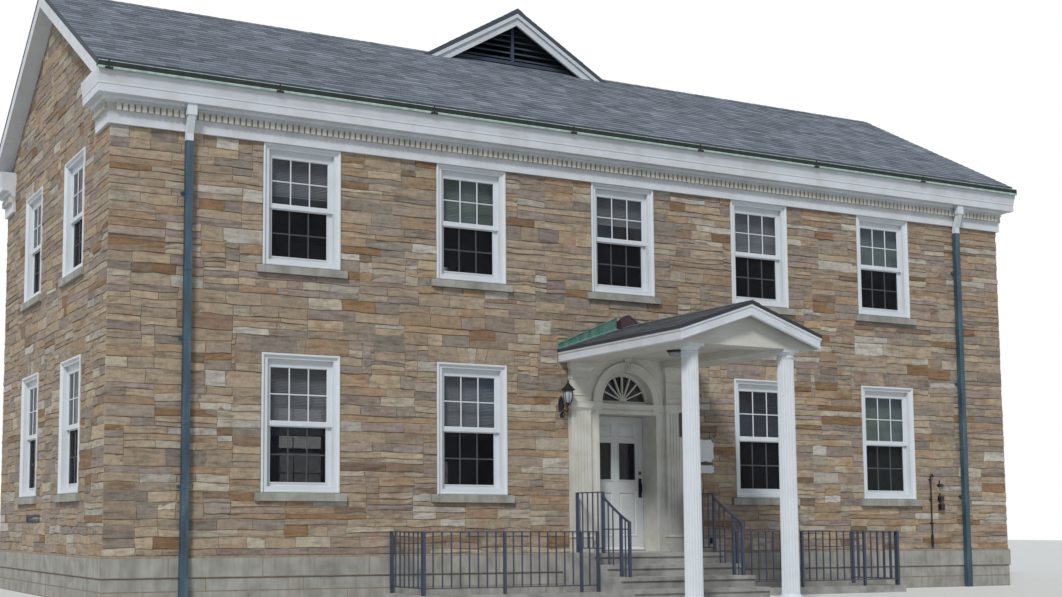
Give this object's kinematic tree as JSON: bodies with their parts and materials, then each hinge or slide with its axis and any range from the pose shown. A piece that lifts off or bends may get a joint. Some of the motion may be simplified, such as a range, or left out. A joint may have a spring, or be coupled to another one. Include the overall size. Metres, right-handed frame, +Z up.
{
  "type": "community centre",
  "caption": "Two-storey stone community centre with a gabled roof, a louvred cross gable, dentilled eaves and a columned porch over its hinged door.",
  "frame": {"origin": "centre of the building's box, on the ground", "axes": "+X along the front to the right, +Y from the front into the building, +Z up"},
  "size_m": [17.058, 10.142, 10.3774],
  "materials": {
    "sandstone": "coursed rock-faced sandstone",
    "limestone": "sawn grey limestone",
    "concrete": "cast concrete",
    "white_paint": "painted timber, satin white",
    "cream_paint": "painted timber, satin off-white",
    "shingles": "asphalt shingles with stone granules, matte",
    "porch_shingles": "dark asphalt shingles with stone granules, matte",
    "patina_copper": "copper with a green and blue patina",
    "dark_metal": "dark maroon enamel",
    "iron_paint": "blue-grey gloss paint on iron",
    "black_iron": "black enamel",
    "floor_boards": "varnished boards",
    "louvre_slate": "dark weathered paint",
    "glass": "clear window glass"
  },
  "bodies": {
    "building": {"foundation": "limestone", "front_wall_left": "sandstone", "front_wall_right": "sandstone", "front_wall_over_door": "sandstone", "rear_wall": "sandstone", "rear_gable": "sandstone", "left_wall": "sandstone", "right_wall": "sandstone", "ground_floor": "floor_boards", "upper_floor": "floor_boards", "attic_floor": "floor_boards", "main_roof_front": "shingles", "main_roof_rear": "shingles", "cross_roof_left": "shingles", "cross_roof_right": "shingles", "gable_louvre": "louvre_slate", "gable_trim": "white_paint", "rake_boards": "white_paint", "frieze_boards": "white_paint", "dentil_bands": "cream_paint", "cornices": "white_paint", "gutters": "patina_copper", "downpipes": "patina_copper", "downpipe_heads": "white_paint", "front_windows": "white_paint", "side_windows": "white_paint", "rear_windows": "white_paint", "front_glass": "glass", "side_glass": "glass", "rear_glass": "glass", "window_sills": "limestone", "door_frame": "white_paint", "fanlight": "white_paint", "fanlight_glass": "glass", "door_surround": "white_paint", "pilasters": "white_paint", "door_hinges": "black_iron", "column_left": "white_paint", "column_right": "white_paint", "portico_ceiling": "white_paint", "portico_tympanum": "white_paint", "portico_fascia": "white_paint", "portico_roof": "porch_shingles", "copper_flashing": "patina_copper", "ridge_box": "dark_metal", "entrance_landing": "concrete", "entrance_step_1": "concrete", "entrance_step_2": "concrete", "entrance_step_3": "concrete", "stair_railings": "iron_paint", "area_railings": "iron_paint", "area_railing_returns": "iron_paint", "area_curbs": "concrete", "area_curb_returns": "concrete", "wall_lanterns": "black_iron"},
    "door": {"entrance_door": "white_paint", "door_glass": "glass", "door_handle": "black_iron"}
  },
  "joints": [
    {"name": "entrance_door_hinge", "type": "hinge", "parent": "building", "child": "door", "pos_m": [-0.527, -1.6537, 1.7255], "axis": [0, 0, 1], "range_deg": [0, 90]}
  ]
}
